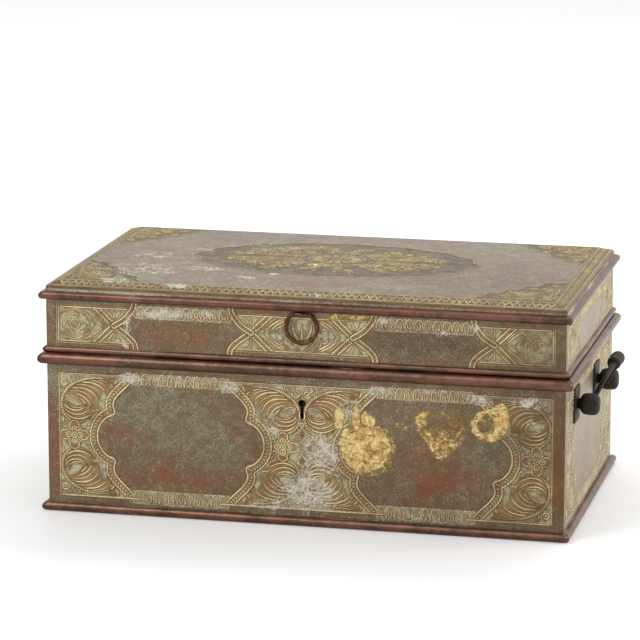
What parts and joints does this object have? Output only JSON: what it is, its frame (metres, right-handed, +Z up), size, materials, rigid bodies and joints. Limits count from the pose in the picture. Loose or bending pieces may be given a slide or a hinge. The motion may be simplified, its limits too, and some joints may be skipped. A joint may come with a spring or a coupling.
{
  "type": "brass casket",
  "caption": "Rectangular sheet brass casket with moulded rims, a hinged low-crowned lid, a key lock, a ring pull and swinging iron end handles.",
  "frame": {"origin": "centre of the underside of the floor", "axes": "+Z up, -Y towards the front with the keyhole, +X to the right of someone who faces the front"},
  "size_m": [0.5142, 0.2774, 0.2055],
  "materials": {
    "wall_brass": "patinated, engraved",
    "moulding_brass": "drawn moulding with red-brown patina",
    "lid_brass": "patinated, engraved",
    "inner_brass": "dull, unpolished",
    "fitting_brass": "dull",
    "ring_brass": "red-brown, worn",
    "iron": "blackened, forged"
  },
  "bodies": {
    "base": {"back_plinth_moulding": "moulding_brass", "back_rim_moulding_left": "moulding_brass", "back_rim_moulding_middle": "moulding_brass", "back_rim_moulding_right": "moulding_brass", "base_back_wall": "wall_brass", "base_floor": "inner_brass", "base_front_wall": "wall_brass", "base_left_wall": "wall_brass", "base_right_wall": "wall_brass", "front_plinth_moulding": "moulding_brass", "front_rim_moulding": "moulding_brass", "hinge_left_lower_leaf": "fitting_brass", "hinge_left_pin": "fitting_brass", "hinge_right_lower_leaf": "fitting_brass", "hinge_right_pin": "fitting_brass", "left_handle_back_backplate": "iron", "left_handle_back_stud": "iron", "left_handle_front_backplate": "iron", "left_handle_front_stud": "iron", "left_plinth_moulding": "moulding_brass", "left_rim_moulding": "moulding_brass", "lock_case": "inner_brass", "lower_leaf_rivet_1": "fitting_brass", "lower_leaf_rivet_2": "fitting_brass", "lower_leaf_rivet_3": "fitting_brass", "lower_leaf_rivet_4": "fitting_brass", "right_handle_back_backplate": "iron", "right_handle_back_stud": "iron", "right_handle_front_backplate": "iron", "right_handle_front_stud": "iron", "right_plinth_moulding": "moulding_brass", "right_rim_moulding": "moulding_brass"},
    "lid": {"back_lid_bead_left": "moulding_brass", "back_lid_bead_middle": "moulding_brass", "back_lid_bead_right": "moulding_brass", "back_lid_cornice": "moulding_brass", "front_lid_bead": "moulding_brass", "front_lid_cornice": "moulding_brass", "hinge_left_upper_leaf": "fitting_brass", "hinge_right_upper_leaf": "fitting_brass", "left_lid_bead": "moulding_brass", "left_lid_cornice": "moulding_brass", "lid_back_wall": "wall_brass", "lid_front_wall": "wall_brass", "lid_left_wall": "wall_brass", "lid_right_wall": "wall_brass", "lid_top_panel": "lid_brass", "lock_staple": "inner_brass", "right_lid_bead": "moulding_brass", "right_lid_cornice": "moulding_brass", "ring_tube": "moulding_brass", "upper_leaf_rivet_1": "fitting_brass", "upper_leaf_rivet_2": "fitting_brass", "upper_leaf_rivet_3": "fitting_brass", "upper_leaf_rivet_4": "fitting_brass"},
    "ring": {"pull_ring": "ring_brass"},
    "bolt": {"lock_bolt": "iron"},
    "left_bail": {"left_handle_bail": "iron"},
    "right_bail": {"right_handle_bail": "iron"}
  },
  "joints": [
    {"name": "lid_hinge", "type": "hinge", "parent": "base", "child": "lid", "pos_m": [0, 0.13525, 0.14015], "axis": [-1, 0, 0], "range_deg": [0, 105]},
    {"name": "ring_swing", "type": "hinge", "parent": "lid", "child": "ring", "pos_m": [0, -0.13405, 0.1842], "axis": [-1, 0, 0], "range_deg": [0, 85]},
    {"name": "right_bail_swing", "type": "hinge", "parent": "base", "child": "right_bail", "pos_m": [0.2373, -0.0215, 0.1045], "axis": [0, 0.9994, -0.0349], "range_deg": [-22, 158]},
    {"name": "left_bail_swing", "type": "hinge", "parent": "base", "child": "left_bail", "pos_m": [-0.2373, 0.0215, 0.1045], "axis": [0, -0.9994, -0.0349], "range_deg": [-22, 158]},
    {"name": "lock_bolt_slide", "type": "slide", "parent": "base", "child": "bolt", "axis": [1, 0, 0], "range_m": [0, 0.012]}
  ]
}
